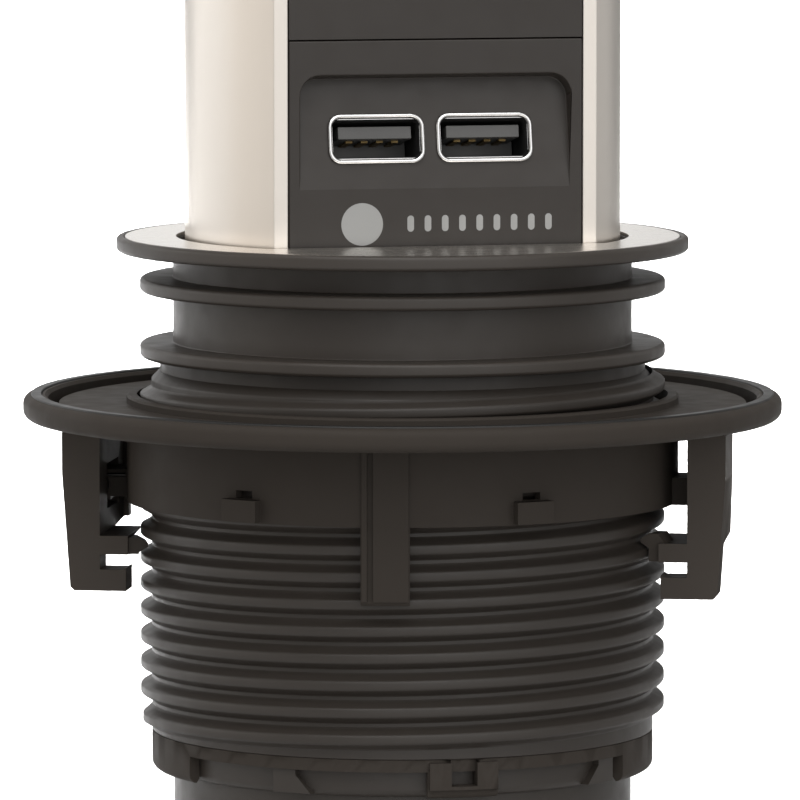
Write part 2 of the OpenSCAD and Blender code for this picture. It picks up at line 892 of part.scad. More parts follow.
// Cap that closes the flange when the tower is down
module cap_body() color(black_plastic) {
    difference() {
        translate([0, 0, tower_top])
            rotate_extrude()
                polygon(concat(
                    [[0, 0], [cap_r - cap_edge, 0], [cap_r, cap_edge]],
                    arc(cap_r - cap_round, cap_h - cap_round, cap_round, 0, 90, 6),
                    [[0, cap_h]]
                ));
        translate([0, 0, tower_top + cap_h - plate_t])
            cylinder(r = cap_r - plate_border + fit, h = plate_t + cut);
        tube(cap_r - gasket_border + fit, cap_r - gasket_border - gasket_w - fit, tower_top - cut,
            tower_top + gasket_seat);
        at_channels(tower_top - cut) {
            cylinder(r = screw_hole_r, h = cap_h + 2 * cut);
            translate([0, 0, cap_head_seat + cut])
                cylinder(r = head_hole_r, h = cap_h);
        }
    }
    plug_ring(tower_top - plug_h, tower_top);
}

module cap_plate() color(aluminium) {
    translate([0, 0, tower_top + cap_h - plate_t])
        cylinder(r = cap_r - plate_border, h = plate_t);
}

// Soft ring under the cap that lies on the trim when the tower is down
module cap_gasket() color(black_plastic) {
    tube(cap_r - gasket_border, cap_r - gasket_border - gasket_w,
        tower_top - gasket_proud, tower_top + gasket_seat);
}

module cap_screws() color(steel) {
    at_channels(tower_top) {
        translate([0, 0, -cap_screw_reach])
            cylinder(r = screw_r, h = cap_screw_reach + cap_head_seat + fit);
        translate([0, 0, cap_head_seat])
            cylinder(r = head_r, h = min(cap_head_h, cap_h - plate_t - cap_head_seat - fit));
    }
}

// Frame of a socket: pin line along local X, depth along Y
module socket_frame(z) {
    translate([0, 0, z])
        rotate([0, -socket_turn, 0])
            children();
}

// A round bar along the depth of a socket
module depth_bar(r, y1, y2) {
    translate([0, y1, 0])
        rotate([-90, 0, 0])
            cylinder(r = r, h = y2 - y1);
}

// The round outside of a well, held within the height of its module
module cup(z, y1, y2) {
    height = socket_h / 2 - seam;
    intersection() {
        translate([0, 0, z])
            depth_bar(cup_r, y1, y2);
        translate([-cup_r - cut, y1 - cut, z - height])
            cube([2 * (cup_r + cut), y2 - y1 + 2 * cut, 2 * height]);
    }
}

// Socket module: face, wall of the plug well and guide ribs
module socket_body(z) {
    height = socket_h / 2 - seam;
    difference() {
        union() {
            translate([-face_half, -tower_front, z - height])
                cube([2 * face_half, profile_wall + shoulder_t, 2 * height]);
            translate([-shoulder_half, lip_y + touch, z - height])
                cube([2 * shoulder_half, shoulder_t - touch, 2 * height]);
            cup(z, -tower_front, well_floor - touch);
        }
        translate([0, 0, z])
            depth_bar(well_r, -tower_front - cut, well_floor + cut);
    }
    socket_frame(z)
        for (side = [-1, 1])
            translate([side * (well_r - guide_t / 2 + guide_sink) - guide_t / 2 - guide_sink,
                -tower_front + guide_start, -guide_w / 2])
                cube([guide_t + 2 * guide_sink, well_depth - guide_start - fit, guide_w]);
}

// Floor of a plug well, with the pin holes and the slots of the earth clip
module socket_floor(z) {
    difference() {
        cup(z, well_floor, cup_back);
        socket_frame(z)
            for (side = [-1, 1]) {
                translate([side * pin_u, 0, 0])
                    depth_bar(pin_r, well_floor - cut, cup_back + cut);
                translate([-clip_slot_w / 2, well_floor - cut, side * (arm_in + arm_out) / 2 - clip_slot_t / 2])
                    cube([clip_slot_w, floor_t + 2 * cut, clip_slot_t]);
            }
    }
}

// Block behind a well that holds the contacts and the shutter's track
module contact_block(z) {
    difference() {
        translate([0, 0, z])
            depth_bar(block_r, cup_back + touch, block_back);
        socket_frame(z) {
            translate([-shutter_w / 2 - track_play, cup_back - cut, -shutter_h / 2 - track_play])
                cube([shutter_w + 2 * track_play, track_t + cut, track_top + shutter_h / 2 + track_play]);
            for (side = [-1, 1])
                translate([side * pin_u, 0, 0])
                    depth_bar(sleeve_bore_r + sleeve_wall + fit, cup_back, block_back + cut);
        }
    }
}

// Two contact sleeves that take the plug's pins
module contact_sleeves(z) {
    socket_frame(z)
        for (side = [-1, 1])
            translate([side * pin_u, 0, 0])
                difference() {
                    depth_bar(sleeve_bore_r + sleeve_wall, cup_back + sleeve_start, block_back);
                    depth_bar(sleeve_bore_r, cup_back + sleeve_start - cut, block_back - sleeve_back);
                }
}

// Earth clip: two sprung arms in the well joined behind the contact block
function clip_side(back, arm, bend) = [
    [back, arm],
    [well_floor - clip_reach[0], arm],
    [well_floor - clip_reach[1], arm - bend],
    [well_floor - clip_reach[2], arm],
];
function mirrored(points) = [for (p = points) [p.x, -p.y]];
function reversed(points) = [for (i = [len(points) - 1:-1:0]) points[i]];
module earth_clip(z) {
    inside = clip_side(clip_back, arm_in, clip_bend);
    outside = clip_side(clip_back + clip_t, arm_out, clip_bend - clip_thin);
    socket_frame(z)
        translate([-clip_w / 2, 0, 0])
            rotate([90, 0, 90])
                linear_extrude(height = clip_w)
                    polygon(concat(mirrored(inside), mirrored(reversed(outside)), outside, reversed(inside)));
}

// Shutter that shuts both pin holes until two pins push it aside
module shutter(z) {
    socket_frame(z)
        difference() {
            translate([-shutter_w / 2, cup_back + shutter_play, -shutter_h / 2])
                cube([shutter_w, shutter_t, shutter_h]);
            for (side = [-1, 1])
                translate([side * pin_u, cup_back, wedge_z])
                    rotate([wedge_turn, 0, 0])
                        cube([wedge_x, wedge_t, wedge_h], center = true);
        }
}

// Coil that closes a shutter
module shutter_spring(z) {
    coil_low = shutter_h / 2 + coil_play;
    socket_frame(z)
        translate([0, cup_back + track_t / 2, 0])
            tube(coil_r, coil_bore_r, coil_low, track_top - coil_gap);
}

module socket_upper() color(dark_plastic) socket_body(upper_z);
module socket_lower() color(dark_plastic) socket_body(lower_z);
module socket_floor_upper() color(dark_plastic) socket_floor(upper_z);
module socket_floor_lower() color(dark_plastic) socket_floor(lower_z);
module contact_block_upper() color(pale_plastic) contact_block(upper_z);
module contact_block_lower() color(pale_plastic) contact_block(lower_z);
module contact_sleeves_upper() color(brass) contact_sleeves(upper_z);
module contact_sleeves_lower() color(brass) contact_sleeves(lower_z);
module earth_clip_upper() color(steel) earth_clip(upper_z);
module earth_clip_lower() color(steel) earth_clip(lower_z);
module shutter_upper() color(black_plastic) shutter(upper_z);
module shutter_lower() color(black_plastic) shutter(lower_z);
module shutter_spring_upper() color(steel) shutter_spring(upper_z);
module shutter_spring_lower() color(steel) shutter_spring(lower_z);

// Frame on the sloping floor of the recess, with Z along the ports
module port_frame() {
    translate([0, port_y, port_z])
        rotate([90 - slope, 0, 0])
            children();
}

// The same piece at both ports
module at_ports() {
    port_frame()
        for (side = [-1, 1])
            translate([port_shift + side * port_pitch / 2, 0, 0])
                children();
}

// Front of the charger module with its sloping recess
module usb_face() color(dark_plastic) difference() {
    union() {
        translate([-face_half, -tower_front, usb_low + seam])
            cube([2 * face_half, usb_t, module_h - 2 * seam]);
        translate([-shoulder_half, lip_y + touch, usb_low + seam])
            cube([2 * shoulder_half, usb_back - lip_y - touch, module_h - 2 * seam]);
    }
    port_frame() {
        reach = recess_up / cos(slope);
        translate([0, reach - recess_h / 2, 0])
            linear_extrude(height = shell_depth)
                round_rect([recess_w, recess_h], recess_round);
    }
    at_ports()
        translate([0, 0, -shell_depth])
            linear_extrude(height = 2 * shell_depth)
                square(port_hole, center = true);
}

// Steel shells of the two ports, each with a flared mouth
module usb_shells() color(steel) {
    at_ports()
        difference() {
            union() {
                translate([0, 0, mouth_lift])
                    linear_extrude(height = mouth_t)
                        round_rect(mouth_size, mouth_round);
                translate([0, 0, -shell_depth])
                    linear_extrude(height = shell_depth + mouth_t / 2)
                        round_rect(shell_size, shell_round);
            }
            translate([0, 0, -shell_depth + shell_back])
                linear_extrude(height = shell_depth + cut)
                    round_rect(shell_bore, bore_round);
        }
}

// Insulating tongues of the two ports
module usb_tongues() color(pale_plastic) {
    at_ports()
        translate([0, 0, -shell_depth + shell_back + touch]) {
            translate([-tongue_size.x / 2, tongue_up, 0])
                cube(tongue_size);
            translate([-tongue_foot.x / 2, -tongue_foot.y / 2, 0])
                cube(tongue_foot);
        }
}

// Four contact strips under each tongue
module usb_contacts() color(brass) {
    at_ports()
        for (i = [-1.5:1:1.5])
            translate([i * strip_pitch - strip_size.x / 2, strip_top - strip_size.y, -strip_front])
                cube(strip_size);
}

// Charger circuit behind the ports
module charger_board() color("#2f6b45") {
    translate([-board_w / 2, usb_back + board_gap, usb_low + board_rise])
        cube([board_w, board_t, module_h - board_rise - board_drop]);
}

module charger_transformer() color("#d8c25a") {
    translate([transformer_x, usb_back + board_gap + board_t, usb_low + transformer_rise])
        cube(transformer_size);
}

module charger_capacitors() color("#35405c") {
    for (z = can_rise)
        translate([can_x, 0, usb_low + z])
            depth_bar(can_r, usb_back + board_gap + board_t, usb_back + board_gap + board_t + can_h);
}

// A copper bar down the back of the sockets to the terminals
module bus_bar(x, y, z_top) {
    translate([x - bar_w / 2, y, usb_low + bar_end])
        cube([bar_w, bar_t, z_top - usb_low - bar_end]);
}

module live_bar() color(brass) bus_bar(bar_x, block_back, upper_z + bar_z + bar_over);
module neutral_bar() color(brass) bus_bar(-bar_x, block_back, upper_z - bar_z + bar_over);
module earth_bar() color(brass) bus_bar(0, block_back + earth_step, upper_z + bar_over);

// Terminal block on the foot's shelf
module terminal_block() color(pale_plastic) {
    difference() {
        translate([-terminal_size.x / 2, block_back - terminal_front, shelf_z])
            cube(terminal_size);
        for (slot = [[bar_x, 0], [-bar_x, 0], [0, earth_step]])
            translate([slot[0] - bar_w / 2 - bar_play[0], block_back + slot[1] - bar_play[1],
                usb_low + slot_rise])
                cube([bar_w + 2 * bar_play[0], bar_t + 2 * bar_play[1], terminal_size.z]);
        for (x = [-bar_x, bar_x])
            translate([x, 0, usb_low + terminal_rise])
                depth_bar(terminal_hole_r, block_back - terminal_front - cut, block_back);
        translate([0, 0, usb_low + terminal_rise])
            depth_bar(terminal_hole_r, block_back + earth_step + bar_t, block_back + terminal_size.y);
    }
}

module terminal_screws() color(steel) {
    for (x = [-bar_x, bar_x])
        translate([x, 0, usb_low + terminal_rise])
            depth_bar(terminal_screw_r, block_back - terminal_screw_h, block_back);
    translate([0, 0, usb_low + terminal_rise])
        depth_bar(terminal_screw_r, block_back + earth_step + bar_t,
            block_back + earth_step + bar_t + terminal_front);
}

// Foot of the tower: a cup that slides in the housing and meets the spigot when the tower is up
module tower_foot() color(black_plastic) {
    difference() {
        union() {
            difference() {
                translate([0, 0, foot_low])
                    cylinder(r = tower_r, h = foot_h);
                translate([0, 0, foot_low + foot_floor])
                    cylinder(r = inner_r - foot_wall, h = foot_h);
            }
            at_channels(foot_low)
                cylinder(r = channel_r + channel_room, h = foot_h);
        }
        translate([0, 0, foot_low - cut])
            cylinder(r = gland_hole_r, h = foot_floor + 2 * cut);
        at_channels(foot_low - cut) {
            cylinder(r = screw_hole_r, h = foot_h + 2 * cut);
            cylinder(r = head_hole_r, h = foot_head_seat + cut);
        }
    }
    plug_ring(tower_low - plug_lap, shelf_z);
    difference() {
        intersection() {
            translate([0, 0, shelf_z - shelf_plate])
                cylinder(r = inner_r - plug_play, h = shelf_plate);
            behind_modules(shelf_z - shelf_plate - cut, shelf_z + cut);
        }
        translate([0, -lead_hole_y, shelf_z - shelf_plate - cut])
            cylinder(r = lead_hole_r, h = shelf_plate + 2 * cut);
        at_channels(shelf_z - shelf_plate - cut)
            cylinder(r = channel_r + channel_room, h = shelf_plate + 2 * cut);
    }
}

module foot_screws() color(steel) {
    at_channels(foot_low) {
        translate([0, 0, foot_head_seat - foot_head_h])
            cylinder(r = head_r, h = foot_head_h);
        translate([0, 0, foot_head_seat - foot_head_h / 2])
            cylinder(r = screw_r, h = foot_h + foot_screw_reach);
    }
}

// Cable gland in the foot, without its cable
module gland_body() color(black_plastic) difference() {
    union() {
        translate([0, 0, foot_low - gland_hex_h])
            cylinder(r = gland_hex_r, h = gland_hex_h, $fn = 6);
        translate([0, 0, foot_low - gland_hex_h - gland_neck_h])
            cylinder(r = gland_neck_r, h = gland_neck_h + cut);
        translate([0, 0, foot_low - cut])
            cylinder(r = gland_r, h = gland_up + cut);
    }
    translate([0, 0, foot_low - gland_hex_h - gland_neck_h - cut])
        cylinder(r = gland_bore_r, h = gland_hex_h + gland_neck_h + gland_up + 2 * cut);
}

module gland_locknut() color(black_plastic) difference() {
    translate([0, 0, foot_low + foot_floor])
        cylinder(r = locknut_r, h = locknut_h, $fn = 6);
    translate([0, 0, foot_low])
        cylinder(r = gland_r + touch, h = foot_floor + locknut_h + cut);
}

module gland_seal() color("#1c1b1a") {
    tube(seal_r, cable_r, seal_low, seal_low + seal_h);
}

module gland_nut() color(black_plastic) difference() {
    union() {
        translate([0, 0, seal_low - gland_nut_floor])
            cylinder(r = gland_nut_r, h = seal_h + gland_neck_h - gland_nut_gap + gland_nut_floor, $fn = 6);
        translate([0, 0, seal_low - gland_nut_floor - gland_cone_h])
            cylinder(r1 = gland_cone_r[0], r2 = gland_cone_r[1], h = gland_cone_h + gland_nut_gap);
    }
    translate([0, 0, seal_low - touch])
        cylinder(r = gland_neck_r + fit, h = seal_h + gland_neck_h + cut);
    translate([0, 0, seal_low - gland_nut_floor - gland_cone_h - cut])
        cylinder(r = gland_mouth_r, h = gland_cone_h + gland_nut_floor + 2 * cut);
}

bezel_collar();
flange_trim();
threaded_sleeve();
bayonet_ring();
lower_tube();
friction_pads();
thrust_washer();
clamp_ring();
lever_left();
lever_right();
lever_pin_left();
lever_pin_right();
lever_spring_left();
lever_spring_right();
tower_profile();
cap_body();
cap_plate();
cap_gasket();
cap_screws();
socket_upper();
socket_lower();
socket_floor_upper();
socket_floor_lower();
contact_block_upper();
contact_block_lower();
contact_sleeves_upper();
contact_sleeves_lower();
earth_clip_upper();
earth_clip_lower();
shutter_upper();
shutter_lower();
shutter_spring_upper();
shutter_spring_lower();
usb_face();
usb_shells();
usb_tongues();
usb_contacts();
charger_board();
charger_transformer();
charger_capacitors();
live_bar();
neutral_bar();
earth_bar();
terminal_block();
terminal_screws();
tower_foot();
foot_screws();
gland_body();
gland_locknut();
gland_seal();
gland_nut();
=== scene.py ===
"""Looks of the pop up desk socket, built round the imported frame. Metres, in the frame of the row."""

import json
import math

import bmesh
import bpy
from mathutils import Matrix, Vector


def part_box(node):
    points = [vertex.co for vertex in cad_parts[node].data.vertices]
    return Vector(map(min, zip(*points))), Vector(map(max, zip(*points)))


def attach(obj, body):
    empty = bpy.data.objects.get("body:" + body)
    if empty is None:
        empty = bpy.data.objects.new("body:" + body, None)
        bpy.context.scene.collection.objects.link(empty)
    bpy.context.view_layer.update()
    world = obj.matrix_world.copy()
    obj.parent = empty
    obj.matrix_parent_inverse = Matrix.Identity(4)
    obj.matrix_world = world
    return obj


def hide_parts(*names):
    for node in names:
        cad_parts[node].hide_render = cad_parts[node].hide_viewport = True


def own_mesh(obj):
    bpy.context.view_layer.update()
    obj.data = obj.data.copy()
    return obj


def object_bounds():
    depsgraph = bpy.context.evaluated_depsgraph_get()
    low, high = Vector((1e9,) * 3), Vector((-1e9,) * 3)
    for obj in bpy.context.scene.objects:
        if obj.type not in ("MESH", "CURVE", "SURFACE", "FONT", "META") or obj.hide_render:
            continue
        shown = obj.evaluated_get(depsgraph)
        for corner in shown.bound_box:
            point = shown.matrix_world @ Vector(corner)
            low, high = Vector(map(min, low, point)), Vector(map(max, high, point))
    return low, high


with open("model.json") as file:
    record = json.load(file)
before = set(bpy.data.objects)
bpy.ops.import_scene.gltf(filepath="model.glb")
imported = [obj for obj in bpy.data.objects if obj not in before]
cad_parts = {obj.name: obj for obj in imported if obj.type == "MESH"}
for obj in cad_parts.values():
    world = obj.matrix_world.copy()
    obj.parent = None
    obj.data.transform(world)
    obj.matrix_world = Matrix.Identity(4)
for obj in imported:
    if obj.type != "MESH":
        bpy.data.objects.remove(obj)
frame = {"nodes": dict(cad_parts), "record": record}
cad_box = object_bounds()
nodes = frame["nodes"]
scene = bpy.context.scene
MM = 0.001

# Camera, fitted to the photograph's frame of 800 by 800 pixels
CAMERA_AZIMUTH = math.radians(-13.2)
CAMERA_DISTANCE = 1.231
CAMERA_HEIGHT = 0.0936
CAMERA_PITCH = math.radians(5.396)
CAMERA_LENS = 369.5
CAMERA_SENSOR = 36.0
CAMERA_REACH = 50
AXIS_SHIFT = -2.5 / 800

# Housing, in millimetres
BORE_R = 33.1
SLEEVE_IN_R = 34.6
SLEEVE_R = 36.5
CORE_R = 37.8
CREST_R = 39.5
RING2_END = -15.85
SPIGOT_END = -23.85
SPIGOT_GAP = 0.3
SLEEVE_END = -72.2
SLEEVE_EDGE = 0.15
TUBE_TOP = -62.0
PAD_TOP = SPIGOT_END - 2
PAD_LOW = PAD_TOP - 15
PAD_T = 1.4

# Thread: heights of the crest at polar angle 0 and at both ends, the turns that an end fades over,
# and the cone above it
PITCH = 4.0
CREST_PHASE = 0.147
CREST_LOW = -70.186
CREST_TOP = -19.6
RUN_OUT = 0.08
CONE_LOW = -19.2
CONE_TOP = -17.9
THREAD_STEPS = 160
# Rounding where the cone meets the core: distance in from the core, and up from the cone's lower end
CONE_EASE = [(0.12, 0.12), (0.03, -0.02), (0.0, -0.2)]

# Sloping floor of the recess with the two ports, in millimetres
TOWER_FRONT = -21.7
RECESS_DEPTH = 3.2
RECESS_H = 16.2
SLOPE = math.atan(RECESS_DEPTH / RECESS_H)
PORT_PITCH = 16.4
PORT_SHIFT = -0.55
PORT_DROP = 7.3
PORT_Y = TOWER_FRONT + RECESS_DEPTH * PORT_DROP / RECESS_H
PORT_Z = 18.05

# Finishes: scales of the noise, in waves a metre, and depths of the relief, in metres
PATCH_SCALE = 45.0
GLOSS_SCALE = 300.0
SOFT_SCALE = 30.0
CLOUD_SCALE = 700.0
GRAIN_DEPTH = 0.00004
LINE_DEPTH = 0.00002
COAT_DEPTH = 0.00003


# Materials

def new_material(name, colour, roughness, metallic=0.0):
    material = bpy.data.materials.new(name)
    material.use_nodes = True
    shader = material.node_tree.nodes["Principled BSDF"]
    shader.inputs["Base Color"].default_value = (*colour, 1)
    shader.inputs["Roughness"].default_value = roughness
    shader.inputs["Metallic"].default_value = metallic
    return material, material.node_tree, shader


def position(tree, stretch=(1, 1, 1)):
    """Place in the object, stretched by a factor on each axis."""
    coords = tree.nodes.new("ShaderNodeTexCoord")
    mapping = tree.nodes.new("ShaderNodeMapping")
    mapping.inputs["Scale"].default_value = stretch
    tree.links.new(coords.outputs["Object"], mapping.inputs["Vector"])
    return mapping.outputs["Vector"]


def noise(tree, vector, scale, detail=3.0):
    node = tree.nodes.new("ShaderNodeTexNoise")
    node.inputs["Scale"].default_value = scale
    node.inputs["Detail"].default_value = detail
    tree.links.new(vector, node.inputs["Vector"])
    return node.outputs["Fac"]


def vary_gloss(tree, shader, value, low, high, start=0.3, end=0.7):
    """Roughness from low to high, as a noise goes from start to end."""
    node = tree.nodes.new("ShaderNodeMapRange")
    node.inputs["From Min"].default_value = start
    node.inputs["From Max"].default_value = end
    node.inputs["To Min"].default_value = low
    node.inputs["To Max"].default_value = high
    tree.links.new(value, node.inputs["Value"])
    tree.links.new(node.outputs["Result"], shader.inputs["Roughness"])


def vary_colour(tree, shader, value, colour, share):
    """Colour that a noise makes darker or lighter by a share of itself."""
    node = tree.nodes.new("ShaderNodeMix")
    node.data_type = "RGBA"
    node.inputs["A"].default_value = (*(c * (1 - share) for c in colour), 1)
    node.inputs["B"].default_value = (*(c * (1 + share) for c in colour), 1)
    tree.links.new(value, node.inputs["Factor"])
    tree.links.new(node.outputs["Result"], shader.inputs["Base Color"])


def bump(tree, shader, height, strength, distance):
    node = tree.nodes.new("ShaderNodeBump")
    node.inputs["Strength"].default_value = strength
    node.inputs["Distance"].default_value = distance
    tree.links.new(height, node.inputs["Height"])
    tree.links.new(node.outputs["Normal"], shader.inputs["Normal"])


def moulded(name, colour, roughness, grain=1600.0, strength=0.18, specular=0.5):
    """Satin moulded plastic: fine grain, soft patches of gloss and of colour."""
    material, tree, shader = new_material(name, colour, roughness)
    shader.inputs["Specular IOR Level"].default_value = specular
    place = position(tree)
    vary_colour(tree, shader, noise(tree, place, PATCH_SCALE), colour, 0.1)
    vary_gloss(tree, shader, noise(tree, place, GLOSS_SCALE), roughness - 0.05, roughness + 0.05)
    bump(tree, shader, noise(tree, place, grain), strength, GRAIN_DEPTH)
    return material


def brushed(name, colour, roughness, stretch, strength=0.12):
    """Brushed metal: fine lines along the axis with the small stretch."""
    material, tree, shader = new_material(name, colour, roughness, metallic=1.0)
    lines = noise(tree, position(tree, stretch), 1.0, detail=4.0)
    vary_gloss(tree, shader, lines, roughness - 0.03, roughness + 0.04)
    vary_colour(tree, shader, noise(tree, position(tree), SOFT_SCALE, detail=2.0), colour, 0.04)
    bump(tree, shader, lines, strength, LINE_DEPTH)
    return material


def plated(name, colour, roughness):
    """Plated or bare metal with slightly uneven gloss."""
    material, tree, shader = new_material(name, colour, roughness, metallic=1.0)
    cloud = noise(tree, position(tree), CLOUD_SCALE)
    vary_gloss(tree, shader, cloud, roughness * 0.7, roughness * 1.4)
    bump(tree, shader, cloud, 0.08, LINE_DEPTH)
    return material


def varnished(name, colour, roughness, scale):
    """Glossy coat over a colour with soft cloud."""
    material, tree, shader = new_material(name, colour, roughness)
    shader.inputs["Coat Weight"].default_value = 0.4
    cloud = noise(tree, position(tree), scale)
    vary_colour(tree, shader, cloud, colour, 0.2)
    bump(tree, shader, cloud, 0.1, COAT_DEPTH)
    return material


finish = {
    "housing_plastic": moulded("housing_plastic", (0.044, 0.0365, 0.0305), 0.46),
    "module_plastic": moulded("module_plastic", (0.035, 0.0285, 0.0235), 0.44),
    "dark_plastic": moulded("dark_plastic", (0.018, 0.017, 0.016), 0.45),
    "seal_rubber": moulded("seal_rubber", (0.02, 0.02, 0.02), 0.75, grain=900.0, strength=0.3),
    "anodised_profile": brushed("anodised_profile", (0.84, 0.78, 0.71), 0.31, (3500, 3500, 20), 0.04),
    "trim_metal": brushed("trim_metal", (0.84, 0.80, 0.75), 0.28, (60, 4000, 4000)),
    "bright_steel": plated("bright_steel", (0.86, 0.85, 0.84), 0.16),
    "screw_steel": plated("screw_steel", (0.62, 0.62, 0.62), 0.3),
    "black_steel": plated("black_steel", (0.05, 0.048, 0.046), 0.4),
    "port_grey": moulded("port_grey", (0.11, 0.108, 0.105), 0.5),
    "contact_brass": plated("contact_brass", (0.72, 0.53, 0.23), 0.3),
    "insulator": moulded("insulator", (0.62, 0.60, 0.56), 0.5),
    "board": varnished("board", (0.05, 0.2, 0.09), 0.3, 250.0),
    "winding_tape": varnished("winding_tape", (0.7, 0.55, 0.15), 0.4, 120.0),
    "can": varnished("can", (0.05, 0.07, 0.14), 0.35, 200.0),
}
printed = moulded("printed_mark", (0.42, 0.42, 0.41), 0.55)
# Near-black for the inside of the port bores: painted shade, where the real steel shell is only in shadow
port_painted_shade = moulded("port_painted_shade", (0.008, 0.008, 0.008), 0.6)

# Finishes of single nodes: lighter copies of the housing plastic, their tone raised so that these parts
# come out as bright as they look under the studio light, which is painted light; they also have their own
# gloss, and the ring and levers a weaker specular
bezel_plastic_painted_light = moulded("bezel_plastic_painted_light", (0.058, 0.0482, 0.0404), 0.46)
ring_plastic_painted_light = moulded("ring_plastic_painted_light", (0.053, 0.0445, 0.0375), 0.6, specular=0.12)
lever_plastic_painted_light = moulded("lever_plastic_painted_light", (0.078, 0.0665, 0.057), 0.6, specular=0.12)
# Darker copy of the contact brass for the strips deep in the ports: painted shade, standing in for the
# shadow inside the port
contact_shaded_brass = plated("contact_shaded_brass", (0.24, 0.17, 0.075), 0.5)
finish_of = {
    "usb_contacts": contact_shaded_brass,
    "bezel_collar": bezel_plastic_painted_light,
    "clamp_ring": ring_plastic_painted_light,
    "bayonet_ring": ring_plastic_painted_light,
    "lever_left": lever_plastic_painted_light,
    "lever_right": lever_plastic_painted_light,
}
slot_of = {row["node"]: row["material_slot"] for row in frame["record"]["subparts"]}
for name, node in nodes.items():
    node.data.materials.clear()
    node.data.materials.append(finish_of.get(name, finish[slot_of[name]]))


# Edges of the solids

WELD_DISTANCE = 2e-6
FLAT_ANGLE = math.radians(0.6)
SHARP_ANGLE = math.radians(35.0)
BEVEL_STEPS = 2
# Widths of the bevels, in millimetres
BEVEL = {
    "bezel_collar": 0.2, "flange_trim": 0.1, "bayonet_ring": 0.3, "lower_tube": 0.3, "clamp_ring": 0.3,
    "lever_left": 0.4, "lever_right": 0.4, "tower_profile": 0.2, "cap_body": 0.2, "cap_plate": 0.15,
    "socket_upper": 0.3, "socket_lower": 0.3, "socket_floor_upper": 0.2, "socket_floor_lower": 0.2,
    "usb_face": 0.3, "tower_foot": 0.3, "gland_body": 0.3, "gland_nut": 0.3, "gland_locknut": 0.3,
    "thrust_washer": 0.2, "cap_gasket": 0.3, "usb_tongues": 0.12,
}


def soften(node, width):
    """Round the sharp edges of a solid by modifiers, with its mesh left as it is."""
    weld = node.modifiers.new("weld", "WELD")
    weld.merge_threshold = WELD_DISTANCE
    flat = node.modifiers.new("flat", "DECIMATE")
    flat.decimate_type = "DISSOLVE"
    flat.angle_limit = FLAT_ANGLE
    edge = node.modifiers.new("edge", "BEVEL")
    edge.width = width * MM
    edge.segments = BEVEL_STEPS
    edge.limit_method = "ANGLE"
    edge.angle_limit = SHARP_ANGLE
    edge.harden_normals = True
    normal = node.modifiers.new("normal", "WEIGHTED_NORMAL")
    normal.keep_sharp = True


for name, width in BEVEL.items():
    soften(nodes[name], width)


# Pieces built here

def make_piece(name, bm, slot, body, stands_for=(), material=None):
    """A mesh from bmesh, in metres, that rides on a body and takes the finish of a slot."""
    mesh = bpy.data.meshes.new(name)
    bm.normal_update()
    bm.to_mesh(mesh)
    bm.free()
    for polygon in mesh.polygons:
        polygon.use_smooth = True
    piece = bpy.data.objects.new(name, mesh)
    scene.collection.objects.link(piece)
    piece.data.materials.append(material or finish[slot])
    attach(piece, body)
    if stands_for:
        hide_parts(*stands_for)
    return piece


def smooth_corners(piece, angle):
    """Shade a piece smooth, apart from edges sharper than an angle in degrees."""
    piece.data.set_sharp_from_angle(angle=math.radians(angle))


def bridge(bm, loop, after):
    """Faces between two closed loops with the same number of points."""
    count = len(loop)
    faces = []
    for i in range(count):
        j = (i + 1) % count
        faces.append(bm.faces.new((loop[i], loop[j], after[j], after[i])))
    return faces


def at_angle(r, angle, z):
    return Vector((r * math.cos(angle), r * math.sin(angle), z)) * MM


def smooth_step(value):
    value = min(1.0, max(0.0, value))
    return value * value * (3 - 2 * value)


def rounded_loop(width, height, radius, corner=5):
    """Points of a rectangle with round corners, counter-clockwise."""
    points = []
    for cx, cy, first in ((1, 1, 0), (-1, 1, 90), (-1, -1, 180), (1, -1, 270)):
        for i in range(corner + 1):
            a = math.radians(first + 90 * i / corner)
            points.append((cx * (width / 2 - radius) + radius * math.cos(a),
                           cy * (height / 2 - radius) + radius * math.sin(a)))
    return points


# Sleeve with the thread

# Outline of the sleeve without its ridge: radius and height, round a closed loop
SLEEVE_OUTLINE = [
    (SLEEVE_R, RING2_END), (SLEEVE_R, CONE_TOP),
    *[(CORE_R - inward, CONE_LOW + up) for inward, up in CONE_EASE],
    (CORE_R, SLEEVE_END + SLEEVE_EDGE), (CORE_R - SLEEVE_EDGE, SLEEVE_END), (SLEEVE_IN_R, SLEEVE_END),
    (SLEEVE_IN_R, TUBE_TOP), (BORE_R, TUBE_TOP), (BORE_R, PAD_LOW), (BORE_R + PAD_T, PAD_LOW),
    (BORE_R + PAD_T, PAD_TOP), (SLEEVE_IN_R, SPIGOT_END - SPIGOT_GAP), (SLEEVE_IN_R, RING2_END),
]
# Upper half of the ridge's section: offset from the crest, and share of the ridge's height
RIDGE_HALF = [
    (0.0, 1.0), (0.37, 1.0), (0.57, 0.976), (0.77, 0.87), (0.93, 0.69), (1.35, 0.24), (1.56, 0.06),
    (1.75, 0.0), (1.9, -0.09),
]


def add_turned(bm, outline, steps):
    """A closed outline of radius and height, turned about the axis."""
    angles = [2 * math.pi * i / steps for i in range(steps)]
    rings = [[bm.verts.new(at_angle(r, a, z)) for a in angles] for r, z in outline]
    for ring, after in zip(rings, rings[1:] + rings[:1]):
        bridge(bm, ring, after)


